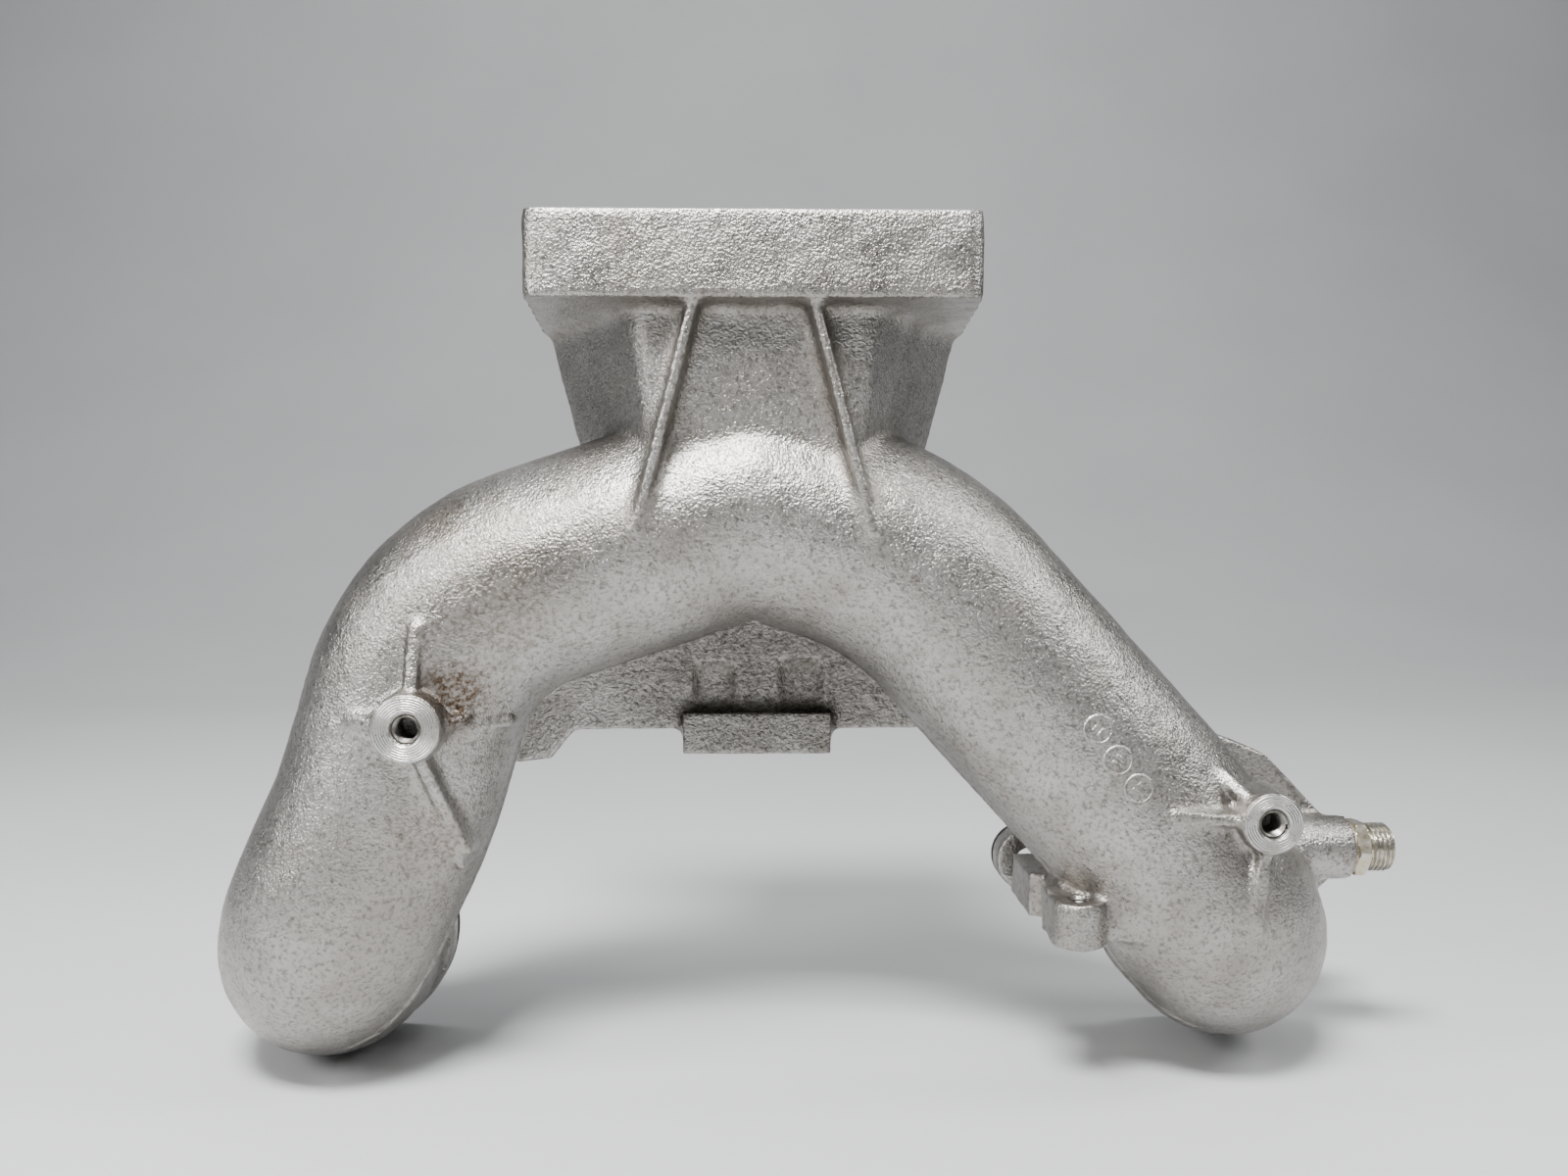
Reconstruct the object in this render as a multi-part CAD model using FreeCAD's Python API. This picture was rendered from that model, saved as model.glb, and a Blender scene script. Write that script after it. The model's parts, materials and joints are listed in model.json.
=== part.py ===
import FreeCAD, Part
import math
import os

# Intake branch pipe for an inline six: one aluminium casting with a rectangular inlet flange, a
# funnel throat and two arms that turn to the rear, plus the hardware that is fitted into it.
# Millimetres. X to the right, Y to the rear, Z up along the inlet flange's normal.
# The origin is the centre of the inlet flange's machined top face.

# Inlet flange
FLANGE_DEPTH = 85.0
FLANGE_FRONT_WIDTH = 133.0
FLANGE_REAR_WIDTH = 146.0
FLANGE_THICKNESS = 25.0
FLANGE_CORNER_RADII = (5.0, 5.0)
INLET_BOLT_SPACING_X = 114.0
INLET_BOLT_SPACING_Y = 63.0
INLET_BOLT_DEPTH = 20.0
M8_INSERT_OUTER_RADIUS = 4.4
M8_INSERT_BORE_RADIUS = 3.5
INLET_INSERT_LENGTH = 16.0

# Throat: the funnel between the flange and the arms, as half widths and Y places at two levels
THROAT_TOP_Z = -20.0
THROAT_BOTTOM_Z = -98.0
THROAT_TOP_FRONT = (37.0, -33.0)
THROAT_TOP_REAR = (73.0, 41.0)
THROAT_BOTTOM_FRONT = (28.0, -24.0)
THROAT_BOTTOM_REAR = (52.0, 33.0)
THROAT_FRONT_RADIUS = 10.0
THROAT_REAR_RADIUS = 2.0
CAVITY_TOP_FRONT = (34.0, -27.0)
CAVITY_TOP_REAR = (45.0, 32.0)
CAVITY_BOTTOM_FRONT = (24.0, -19.0)
CAVITY_BOTTOM_REAR = (44.0, 28.0)
CAVITY_CORNER_RADIUS = 9.0

# Arms
TUBE_RADIUS = 35.0
DUCT_RADIUS = 30.0
ARM_Y = 0.0
ELBOW_BEND = 36.0
OUTLET_FACE_Y = 50.0
JUNCTION = (-1.0, -84.0)
LEFT_CORNERS = ((-98.5, -116.0), (-118.0, -180.0), (-148.0, -244.0))
LEFT_BENDS = (60.0, 120.0)
LEFT_OUTLET = (-144.0, -235.0)
RIGHT_CORNERS = ((50.0, -100.0), (129.0, -187.0), (165.5, -240.0))
RIGHT_BENDS = (90.0, 100.0)
RIGHT_OUTLET = (162.0, -230.0)

# Outlet flanges on the rear ends of the arms
OUTLET_FLANGE_THICKNESS = 10.0
OUTLET_FLANGE_RADIUS = 37.0
OUTLET_EAR_RADIUS = 11.5
OUTLET_NECK = 33.0
LEFT_OUTLET_EARS = ((-110.5, -207.0), (-159.0, -194.0))
RIGHT_OUTLET_EARS = ((98.5, -211.0), (199.5, -211.0))
OUTLET_BOLT_RADIUS = 4.25
SIDE_WEB_OUTLINE = ((130.0, -175.0), (142.0, -152.0), (156.5, -161.4), (173.5, -168.2),
                    (194.0, -190.0), (194.0, -200.0), (165.0, -215.0))
SIDE_WEB_Y = 14.0
SIDE_WEB_THICKNESS = 12.0
GASKET_THICKNESS = 1.2

# Front stiffening ribs of the throat
RIB_THICKNESS = 3.2
RIB_TOP_X = 16.0
RIB_BOTTOM_X = 35.5
RIB_TOP_Y = -41.5
RIB_BOTTOM_Y = -36.2
RIB_TOP_Z = -20.0
RIB_BOTTOM_Z = -93.0
RIB_DEPTH = 20.0

# Machined front bosses with threaded holes
LEFT_BOSS = (-101.2, -43.0, -149.5)
LEFT_BOSS_RADIUS = 10.2
RIGHT_BOSS = (155.6, -38.0, -180.0)
RIGHT_BOSS_RADIUS = 9.3
BOSS_HOLE_DEPTH = 12.0
BOSS_ROOT_Y = -18.0
# Gussets of the bosses: reach from the boss in X and Z, and the Y where the far end meets the arm
GUSSET_THICKNESS = 2.8
GUSSET_STEP = 2.5
GUSSET_ROOT = 14.0
LEFT_GUSSETS = ((1.0, 31.0, -35.2), (-26.0, -1.4, -31.0), (27.0, -2.0, -18.0), (11.0, -47.0, -21.5))
RIGHT_GUSSETS = ((-31.4, 1.6, -35.2), (-12.0, 14.0, -22.0), (-3.0, -36.0, -34.8))

# Rear web plate between the arms
WEB_Y = 22.0
WEB_THICKNESS = 5.0
WEB_LOW_Z = -160.0
WEB_OUTLINE = ((-66.0, -112.0), (-92.0, -150.0), (-82.0, -171.5), (-69.0, -170.0),
               (-61.0, WEB_LOW_Z), (58.0, WEB_LOW_Z), (58.0, -112.0))
WEB_PAD_SIZE = (50.0, 9.0, 14.0)
WEB_PAD_CORNER = (-24.0, 18.0, -168.0)
# Shallow pockets in the web's front face: left X, right X, low Z, high Z
WEB_POCKETS = ((-21.0, -6.5, -154.0, -137.0), (8.5, 23.5, -154.0, -136.0))
WEB_POCKET_DEPTH = 2.5

# Bracket lug inside the right arm
LUG_X = 101.0
LUG_Y = -21.0
LUG_TOP_Z = -207.0
LUG_HEIGHT = 14.6
LUG_RADIUS = 8.4
# Wall from the post back towards the outlet flange, as a plan outline
LUG_WALL_OUTLINE = ((92.6, -21.0), (123.5, -25.0), (123.5, 33.0), (90.5, 33.0), (90.5, 10.0))
LUG_WALL_STEP = 1.5
LUG_SCALLOP = (89.5, -3.0)
LUG_SCALLOP_RADIUS = 7.0
LUG_SEAT_RADIUS = 9.4
LUG_BOLT_WAY_RADIUS = 9.0
LUG_BOLT_WAY_Y = 30.0
M6_INSERT_OUTER_RADIUS = 3.4
M6_INSERT_BORE_RADIUS = 2.6

# Union boss on the right, with its axis along X
UNION_Y = 8.0
UNION_Z = -198.5
UNION_BOSS_RADIUS = 10.5
UNION_FACE_X = 198.0
HEX_ACROSS_FLATS = 17.0
HEX_LENGTH = 4.6
RING_THICKNESS = 1.0
RING_RADIUS = 9.2
THREAD_RADIUS = 8.0
THREAD_LENGTH = 8.5
UNION_BORE_RADIUS = 4.5
SPIGOT_RADIUS = 6.0
SPIGOT_LENGTH = 12.0
UNION_DRILLING_RADIUS = 3.5
UNION_DRILLING_DEPTH = 55.0
UNION_BOSS_ROOT_X = 160.0

X_AXIS = FreeCAD.Vector(1, 0, 0)
Y_AXIS = FreeCAD.Vector(0, 1, 0)
Z_AXIS = FreeCAD.Vector(0, 0, 1)


def vec(x, y, z):
    return FreeCAD.Vector(x, y, z)


def rod(radius, length, base, direction):
    return Part.makeCylinder(radius, length, base, direction)


def polygon_wire(points):
    return Part.makePolygon(list(points) + [points[0]])


def prism(points, push):
    """Solid from a flat closed outline pushed along a vector."""
    return Part.Face(polygon_wire(points)).extrude(push)


def fused(shapes):
    return shapes[0].multiFuse(shapes[1:]).removeSplitter()


def rounded_outline(front, rear, z, radii):
    """Wire of a trapezoid in plan; front and rear are (half width, Y), radii (front, rear)."""
    corners = [vec(-front[0], front[1], z), vec(front[0], front[1], z),
               vec(rear[0], rear[1], z), vec(-rear[0], rear[1], z)]
    corner_radii = (radii[0], radii[0], radii[1], radii[1])
    edges = []
    arcs = []
    for i, corner in enumerate(corners):
        radius = corner_radii[i]
        before = (corners[i - 1] - corner).normalize()
        after = (corners[(i + 1) % 4] - corner).normalize()
        half = before.getAngle(after) / 2.0
        reach = radius / math.tan(half)
        centre = corner + (before + after).normalize() * (radius / math.sin(half))
        start = corner + before * reach
        end = corner + after * reach
        middle = centre + (corner - centre).normalize() * radius
        arcs.append((start, middle, end))
    for i, (start, middle, end) in enumerate(arcs):
        edges.append(Part.Arc(start, middle, end).toShape())
        edges.append(Part.LineSegment(end, arcs[(i + 1) % 4][0]).toShape())
    return Part.Wire(edges)


def tube(points, bends, radius):
    """Round solid along straight runs joined by tangent arcs."""
    pieces = []
    start = points[0]
    for before, corner, after, bend in zip(points, points[1:], points[2:], bends):
        inward = (corner - before).normalize()
        outward = (after - corner).normalize()
        angle = inward.getAngle(outward)
        reach = bend * math.tan(angle / 2.0)
        arc_start = corner - inward * reach
        arc_end = corner + outward * reach
        pieces.append(rod(radius, (arc_start - start).Length, start, inward))
        side = (outward - inward * inward.dot(outward)).normalize()
        centre = arc_start + side * bend
        disc = Part.Face(Part.Wire(Part.makeCircle(radius, arc_start, inward)))
        pieces.append(disc.revolve(centre, inward.cross(outward), math.degrees(angle)))
        start = arc_end
    last = points[-1] - start
    pieces.append(rod(radius, last.Length, start, last.normalize()))
    return fused(pieces)


def arm(corners, bends, outlet, radius):
    """One arm from the junction to the outlet, whose last leg runs to the rear."""
    points = [vec(x, ARM_Y, z) for x, z in (JUNCTION,) + corners]
    points.append(vec(outlet[0], OUTLET_FACE_Y, outlet[1]))
    start = Part.makeSphere(radius, points[0])
    return [start, tube(points, list(bends) + [ELBOW_BEND], radius)]


def inlet_flange():
    front = (FLANGE_FRONT_WIDTH / 2.0, -FLANGE_DEPTH / 2.0)
    rear = (FLANGE_REAR_WIDTH / 2.0, FLANGE_DEPTH / 2.0)
    outline = rounded_outline(front, rear, -FLANGE_THICKNESS, FLANGE_CORNER_RADII)
    return Part.Face(outline).extrude(vec(0, 0, FLANGE_THICKNESS))


def throat():
    radii = (THROAT_FRONT_RADIUS, THROAT_REAR_RADIUS)
    top = rounded_outline(THROAT_TOP_FRONT, THROAT_TOP_REAR, THROAT_TOP_Z, radii)
    bottom = rounded_outline(THROAT_BOTTOM_FRONT, THROAT_BOTTOM_REAR, THROAT_BOTTOM_Z, radii)
    return Part.makeLoft([bottom, top], True, True)


def cavity():
    radii = (CAVITY_CORNER_RADIUS, CAVITY_CORNER_RADIUS)
    top = rounded_outline(CAVITY_TOP_FRONT, CAVITY_TOP_REAR, 1.0, radii)
    bottom = rounded_outline(CAVITY_BOTTOM_FRONT, CAVITY_BOTTOM_REAR, THROAT_BOTTOM_Z + 2.0, radii)
    return Part.makeLoft([bottom, top], True, True)


def front_ribs():
    """Two thin ribs that spread from the flange down onto the arms."""
    ribs = []
    for side in (-1.0, 1.0):
        half = RIB_THICKNESS / 2.0
        top_x = side * RIB_TOP_X
        low_x = side * RIB_BOTTOM_X
        front = []
        for x, y, z in ((top_x, RIB_TOP_Y, RIB_TOP_Z), (low_x, RIB_BOTTOM_Y, RIB_BOTTOM_Z)):
            front.append(vec(x - half, y, z))
            front.append(vec(x + half, y, z))
        outline = [front[0], front[1], front[3], front[2]]
        ribs.append(prism(outline, vec(0, RIB_DEPTH, 0)))
    return ribs


def web():
    """Flat plate behind the arms, with the middle pad and the stepped lower edge."""
    plate = prism([vec(x, WEB_Y, z) for x, z in WEB_OUTLINE], vec(0, WEB_THICKNESS, 0))
    pad = Part.makeBox(*WEB_PAD_SIZE, vec(*WEB_PAD_CORNER))
    return [plate, pad]


def web_pockets():
    pockets = []
    for left, right, low, high in WEB_POCKETS:
        corner = vec(left, WEB_Y - 1.0, low)
        pockets.append(Part.makeBox(right - left, WEB_POCKET_DEPTH + 1.0, high - low, corner))
    return pockets


def outlet_plate(outlet, ears, front_y, thickness):
    """Pieces of a two-eared plate round an outlet."""
    push = vec(0, thickness, 0)
    centre = vec(outlet[0], front_y, outlet[1])
    pieces = [rod(OUTLET_FLANGE_RADIUS, thickness, centre, Y_AXIS)]
    for x, z in ears:
        ear = vec(x, front_y, z)
        pieces.append(rod(OUTLET_EAR_RADIUS, thickness, ear, Y_AXIS))
        away = (ear - centre).normalize()
        across = away.cross(Y_AXIS)
        outline = [ear + across * OUTLET_EAR_RADIUS, ear - across * OUTLET_EAR_RADIUS,
                   centre - across * OUTLET_NECK, centre + across * OUTLET_NECK]
        pieces.append(prism(outline, push))
    return pieces


def side_web():
    """Web that backs the union boss along the outer side of the right arm."""
    outline = [vec(x, SIDE_WEB_Y, z) for x, z in SIDE_WEB_OUTLINE]
    return prism(outline, vec(0, SIDE_WEB_THICKNESS, 0))


def behind_outlets():
    """Everything to the rear of the machined outlet faces."""
    return Part.makeBox(500.0, 50.0, 200.0, vec(-250.0, OUTLET_FACE_Y, -320.0))


def front_boss(place, radius):
    """Round post with a machined front face, rooted in an arm."""
    return rod(radius, BOSS_ROOT_Y - place[1], vec(*place), Y_AXIS)


def gusset(place, reach_x, reach_z, far_y):
    """Thin triangular rib from a boss out to the arm's surface."""
    across = vec(-reach_z, 0, reach_x).normalize() * (GUSSET_THICKNESS / 2.0)
    near = vec(place[0], place[1] + GUSSET_STEP, place[2])
    far = vec(place[0] + reach_x, far_y, place[2] + reach_z)
    deep = vec(0, GUSSET_ROOT, 0)
    outline = [p - across for p in (near, far, far + deep, near + deep)]
    return prism(outline, across * 2.0)


def bracket_lug():
    """Lug on the inner side of the right arm: a post with a through thread, and a wall behind it."""
    low = LUG_TOP_Z - LUG_HEIGHT
    post = rod(LUG_RADIUS, LUG_HEIGHT, vec(LUG_X, LUG_Y, low), Z_AXIS)
    wall_low = low + LUG_WALL_STEP
    wall = prism([vec(x, y, wall_low) for x, y in LUG_WALL_OUTLINE], vec(0, 0, LUG_HEIGHT))
    scallop_base = vec(LUG_SCALLOP[0], LUG_SCALLOP[1], wall_low - 1.0)
    scallop = rod(LUG_SCALLOP_RADIUS, LUG_HEIGHT + 2.0, scallop_base, Z_AXIS)
    seat = rod(LUG_SEAT_RADIUS, LUG_HEIGHT, vec(LUG_X, LUG_Y, LUG_TOP_Z), Z_AXIS)
    ear = RIGHT_OUTLET_EARS[0]
    way = rod(LUG_BOLT_WAY_RADIUS, OUTLET_FACE_Y, vec(ear[0], LUG_BOLT_WAY_Y, ear[1]), Y_AXIS)
    return post.fuse(wall.cut(scallop).cut(seat).cut(way))


def union_boss():
    root = vec(UNION_BOSS_ROOT_X, UNION_Y, UNION_Z)
    return rod(UNION_BOSS_RADIUS, UNION_FACE_X - UNION_BOSS_ROOT_X, root, X_AXIS)


def inlet_bolt_places():
    places = []
    for side in (-1.0, 1.0):
        for end in (-1.0, 1.0):
            places.append((side * INLET_BOLT_SPACING_X / 2.0, end * INLET_BOLT_SPACING_Y / 2.0))
    return places


def casting():
    solids = [inlet_flange(), throat()]
    solids.extend(arm(LEFT_CORNERS, LEFT_BENDS, LEFT_OUTLET, TUBE_RADIUS))
    solids.extend(arm(RIGHT_CORNERS, RIGHT_BENDS, RIGHT_OUTLET, TUBE_RADIUS))
    solids.extend(front_ribs())
    solids.extend(web())
    for outlet, ears in ((LEFT_OUTLET, LEFT_OUTLET_EARS), (RIGHT_OUTLET, RIGHT_OUTLET_EARS)):
        front_y = OUTLET_FACE_Y - OUTLET_FLANGE_THICKNESS
        solids.extend(outlet_plate(outlet, ears, front_y, OUTLET_FLANGE_THICKNESS))
    solids.append(front_boss(LEFT_BOSS, LEFT_BOSS_RADIUS))
    solids.append(front_boss(RIGHT_BOSS, RIGHT_BOSS_RADIUS))
    for boss, gussets in ((LEFT_BOSS, LEFT_GUSSETS), (RIGHT_BOSS, RIGHT_GUSSETS)):
        for reach_x, reach_z, far_y in gussets:
            solids.append(gusset(boss, reach_x, reach_z, far_y))
    solids.append(bracket_lug())
    solids.append(side_web())
    solids.append(union_boss())
    body = fused(solids)
    cuts = [cavity(), behind_outlets()]
    cuts.extend(web_pockets())
    cuts.extend(arm(LEFT_CORNERS, LEFT_BENDS, LEFT_OUTLET, DUCT_RADIUS))
    cuts.extend(arm(RIGHT_CORNERS, RIGHT_BENDS, RIGHT_OUTLET, DUCT_RADIUS))
    for x, y in inlet_bolt_places():
        cuts.append(rod(M8_INSERT_OUTER_RADIUS, INLET_BOLT_DEPTH + 1.0, vec(x, y, 1.0), -Z_AXIS))
    for outlet in (LEFT_OUTLET, RIGHT_OUTLET):
        cuts.append(rod(DUCT_RADIUS, OUTLET_FLANGE_THICKNESS, vec(outlet[0], OUTLET_FACE_Y + 1.0,
                                                                  outlet[1]), -Y_AXIS))
    for x, z in LEFT_OUTLET_EARS + RIGHT_OUTLET_EARS:
        rear = vec(x, OUTLET_FACE_Y + 1.0, z)
        cuts.append(rod(OUTLET_BOLT_RADIUS, OUTLET_FLANGE_THICKNESS + 2.0, rear, -Y_AXIS))
    for x, y, z in (LEFT_BOSS, RIGHT_BOSS):
        cuts.append(rod(M8_INSERT_OUTER_RADIUS, BOSS_HOLE_DEPTH + 1.0, vec(x, y - 1.0, z), Y_AXIS))
    below_lug = vec(LUG_X, LUG_Y, LUG_TOP_Z - LUG_HEIGHT - 1.0)
    cuts.append(rod(M6_INSERT_OUTER_RADIUS, LUG_HEIGHT + 2.0, below_lug, Z_AXIS))
    mouth = vec(UNION_FACE_X + 1.0, UNION_Y, UNION_Z)
    cuts.append(rod(SPIGOT_RADIUS, SPIGOT_LENGTH + 1.0, mouth, -X_AXIS))
    cuts.append(rod(UNION_DRILLING_RADIUS, UNION_DRILLING_DEPTH, mouth, -X_AXIS))
    return body.cut(cuts[0].multiFuse(cuts[1:]))


def ring(outer, inner, length, base, direction):
    """Plain sleeve: a rod with a bore through it."""
    return rod(outer, length, base, direction).cut(rod(inner, length, base, direction))


def pipe_union():
    """Screwed union: spigot in the boss, hexagon and male threaded nose, bored through."""
    hex_x = UNION_FACE_X + RING_THICKNESS
    corner = HEX_ACROSS_FLATS / math.sqrt(3.0)
    outline = []
    for i in range(6):
        angle = math.radians(60.0 * i + 90.0)
        outline.append(vec(hex_x, UNION_Y + corner * math.cos(angle),
                           UNION_Z + corner * math.sin(angle)))
    hexagon = prism(outline, vec(HEX_LENGTH, 0, 0))
    spigot_x = UNION_FACE_X - SPIGOT_LENGTH
    spigot = rod(SPIGOT_RADIUS, SPIGOT_LENGTH + RING_THICKNESS, vec(spigot_x, UNION_Y, UNION_Z), X_AXIS)
    nose = rod(THREAD_RADIUS, THREAD_LENGTH, vec(hex_x + HEX_LENGTH, UNION_Y, UNION_Z), X_AXIS)
    whole = spigot.multiFuse([hexagon, nose])
    length = SPIGOT_LENGTH + RING_THICKNESS + HEX_LENGTH + THREAD_LENGTH + 2.0
    bore = rod(UNION_BORE_RADIUS, length, vec(spigot_x - 1.0, UNION_Y, UNION_Z), X_AXIS)
    return whole.cut(bore)


def union_sealing_ring():
    return ring(RING_RADIUS, SPIGOT_RADIUS, RING_THICKNESS, vec(UNION_FACE_X, UNION_Y, UNION_Z), X_AXIS)


def boss_insert(place):
    return ring(M8_INSERT_OUTER_RADIUS, M8_INSERT_BORE_RADIUS, BOSS_HOLE_DEPTH, vec(*place), Y_AXIS)


def bracket_insert():
    return ring(M6_INSERT_OUTER_RADIUS, M6_INSERT_BORE_RADIUS, LUG_HEIGHT,
                vec(LUG_X, LUG_Y, LUG_TOP_Z), -Z_AXIS)


def inlet_flange_inserts():
    inserts = []
    for x, y in inlet_bolt_places():
        inserts.append(ring(M8_INSERT_OUTER_RADIUS, M8_INSERT_BORE_RADIUS, INLET_INSERT_LENGTH,
                            vec(x, y, 0), -Z_AXIS))
    return Part.makeCompound(inserts)


def outlet_gasket(outlet, ears):
    """Flat gasket of the outlet flange's outline, on its rear face."""
    plate = fused(outlet_plate(outlet, ears, OUTLET_FACE_Y, GASKET_THICKNESS))
    reach = GASKET_THICKNESS + 2.0
    cuts = [rod(DUCT_RADIUS, reach, vec(outlet[0], OUTLET_FACE_Y - 1.0, outlet[1]), Y_AXIS)]
    for x, z in ears:
        cuts.append(rod(OUTLET_BOLT_RADIUS, reach, vec(x, OUTLET_FACE_Y - 1.0, z), Y_AXIS))
    return plate.cut(cuts[0].multiFuse(cuts[1:]))


def write(name, shape):
    os.makedirs("parts", exist_ok=True)
    shape.exportStep("parts/" + name + ".step")
    print(name, round(shape.Volume), shape.isValid(), len(shape.Solids))


def main():
    write("manifold_casting", casting())
    write("pipe_union", pipe_union())
    write("union_sealing_ring", union_sealing_ring())
    write("left_boss_insert", boss_insert(LEFT_BOSS))
    write("right_boss_insert", boss_insert(RIGHT_BOSS))
    write("bracket_insert", bracket_insert())
    write("inlet_flange_inserts", inlet_flange_inserts())
    write("left_outlet_gasket", outlet_gasket(LEFT_OUTLET, LEFT_OUTLET_EARS))
    write("right_outlet_gasket", outlet_gasket(RIGHT_OUTLET, RIGHT_OUTLET_EARS))


main()
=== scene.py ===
import json
import math

import bmesh
import bpy
import numpy as np
from mathutils import Matrix, Vector, noise
from mathutils.bvhtree import BVHTree


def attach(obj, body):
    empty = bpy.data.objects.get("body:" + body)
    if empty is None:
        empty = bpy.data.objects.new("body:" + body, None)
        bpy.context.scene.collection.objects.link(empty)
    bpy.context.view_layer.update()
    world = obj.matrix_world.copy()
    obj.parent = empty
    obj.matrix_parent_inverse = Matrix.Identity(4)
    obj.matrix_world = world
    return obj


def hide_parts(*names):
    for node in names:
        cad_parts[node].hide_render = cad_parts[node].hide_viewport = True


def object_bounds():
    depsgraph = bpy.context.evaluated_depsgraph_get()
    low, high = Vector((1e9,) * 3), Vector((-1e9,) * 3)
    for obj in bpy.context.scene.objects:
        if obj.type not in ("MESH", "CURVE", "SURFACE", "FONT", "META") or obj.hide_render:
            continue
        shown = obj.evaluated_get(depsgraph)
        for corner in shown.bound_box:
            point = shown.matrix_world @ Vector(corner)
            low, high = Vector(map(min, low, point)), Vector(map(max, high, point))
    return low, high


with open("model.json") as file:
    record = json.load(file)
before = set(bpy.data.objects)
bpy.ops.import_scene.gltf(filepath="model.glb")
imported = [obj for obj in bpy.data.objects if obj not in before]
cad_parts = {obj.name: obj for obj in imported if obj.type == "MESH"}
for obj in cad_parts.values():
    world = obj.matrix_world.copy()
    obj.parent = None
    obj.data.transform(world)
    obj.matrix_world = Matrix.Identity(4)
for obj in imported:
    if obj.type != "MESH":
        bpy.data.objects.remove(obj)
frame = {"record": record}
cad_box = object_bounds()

# Metres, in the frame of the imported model: X right, Y to the rear, Z up, inlet face at Z = 0
MM = 0.001
VOXEL = 1.0 * MM
FILLET_STEPS = 36
FILLET_RATE = 0.55
RIB_FILLET_RATE = 0.15
# The first steps also round the outer edges; later ones only fill the inner corners
ROUNDING_STEPS = 3
NORMAL_STEPS = 4
# Growth at which a corner counts as fully filled, for its grime and painted shade
RECESS_DEPTH = 1.2 * MM
# Fillets stay this far from flat faces and from the rims of holes
FACE_MARGIN = 1.2 * MM
RIM_MARGIN = 1.5 * MM
BOSS_HOLE_DEPTH = 16.0 * MM
LUG_HOLE_GUARD = 5.2 * MM
UNION_HOLE_GUARD = 7.5 * MM
UNION_HOLE_DEPTH = 30.0 * MM
# The skin stands back by this much under the boss faces, which are pieces of their own
MACHINED_SKIN = 0.6 * MM
# Skin this near the inlet or outlet face is pulled onto it, and this near it looks cut flat
FLAT_REACH = 0.45 * MM
FLAT_SEEN = 0.2 * MM
# Unevenness of the sand mould: size, depth and seed
RIPPLES = ((9.0 * MM, 0.22 * MM, 3.0), (3.2 * MM, 0.10 * MM, 8.0))
RIB_REACH = 44.0 * MM
# Thin ribs from the bosses onto the arms: reach in X and Z, and the Y of the far end's crest
RIB_THICKNESS = 3.8 * MM
RIB_ROOT = 12.0 * MM
RIB_START = 7.5 * MM
RIB_DROP = 2.4 * MM
LEFT_RIBS = ((0.0015, 0.030, -0.0362), (-0.0195, 0.0015, -0.0338), (0.0160, 0.0008, -0.0300),
             (0.013, -0.042, -0.0235))
RIGHT_RIBS = ((-0.030, 0.0016, -0.0362), (-0.013, 0.014, -0.0262), (-0.004, -0.032, -0.0356))
# Flash line left by the mould's joint along the inner sides of the arms
FLASH_Y = -1.5 * MM
FLASH_HEIGHT = 0.75 * MM
FLASH_WIDTH = 0.9 * MM
FLASH_TOP = -0.098
FLASH_FADE = 12.0 * MM

MOUNTS = {mount["name"]: mount for mount in frame["record"]["mounts"]}


def mount_place(name):
    return Vector(MOUNTS[name]["pos_m"])


LEFT_BOSS = mount_place("left_boss_thread")
RIGHT_BOSS = mount_place("right_boss_thread")
BRACKET = mount_place("bracket_thread")
LUG_HEIGHT = MOUNTS["bracket_thread"]["dims"]["length_mm"] * MM
LUG_TOP = BRACKET + Vector((0.0, 0.0, LUG_HEIGHT))
LEFT_OUTLET = mount_place("left_outlet")
RIGHT_OUTLET = mount_place("right_outlet")
LEFT_BOSS_RADIUS = 10.2 * MM
RIGHT_BOSS_RADIUS = 9.3 * MM
INSERT_RADIUS = 4.4 * MM
M8_PITCH = 1.25 * MM
BOSS_COIL_LENGTH = 10.6 * MM
INLET_COIL_LENGTH = 14.5 * MM
BRACKET_COIL_RADIUS = 3.4 * MM
M6_PITCH = 1.0 * MM
OUTLET_FACE = LEFT_OUTLET.y
OUTLET_RADIUS = MOUNTS["left_outlet"]["dims"]["r_mm"] * MM
GASKET_THICKNESS = 1.2 * MM
UNION = mount_place("union_thread")
HEX_ACROSS_FLATS = 17.0 * MM
HEX_LENGTH = 4.6 * MM
HEX_CHAMFER = math.radians(62.0)
RING_RADIUS = 9.2 * MM
RING_THICKNESS = 1.0 * MM
THREAD_RADIUS = MOUNTS["union_thread"]["dims"]["r_mm"] * MM
THREAD_LENGTH = MOUNTS["union_thread"]["dims"]["length_mm"] * MM
THREAD_PITCH = 1.5 * MM
THREAD_DEPTH = 0.61 * THREAD_PITCH
THREAD_UNDERCUT = 0.9 * MM
CONE_DEPTH = 2.6 * MM
CONE_SLOPE = 0.58
UNION_BORE_RADIUS = 4.5 * MM
SPIGOT_RADIUS = 6.0 * MM
SPIGOT_LENGTH = 12.0 * MM
# Round mould marks on the front of the right arm, as X and Z places
MARK_RADIUS = 4.7 * MM
MARK_PLACES = ((0.1029, -0.1516), (0.1090, -0.1610), (0.1154, -0.1696))
MARK_TURNS = (0.9, -0.6, 2.3)
MARK_ROOT = 1.1 * MM
MARK_RIM_HEIGHT = 0.36 * MM
MARK_FLOOR_HEIGHT = 0.15 * MM
STROKE_HEIGHT = 0.38 * MM
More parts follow.
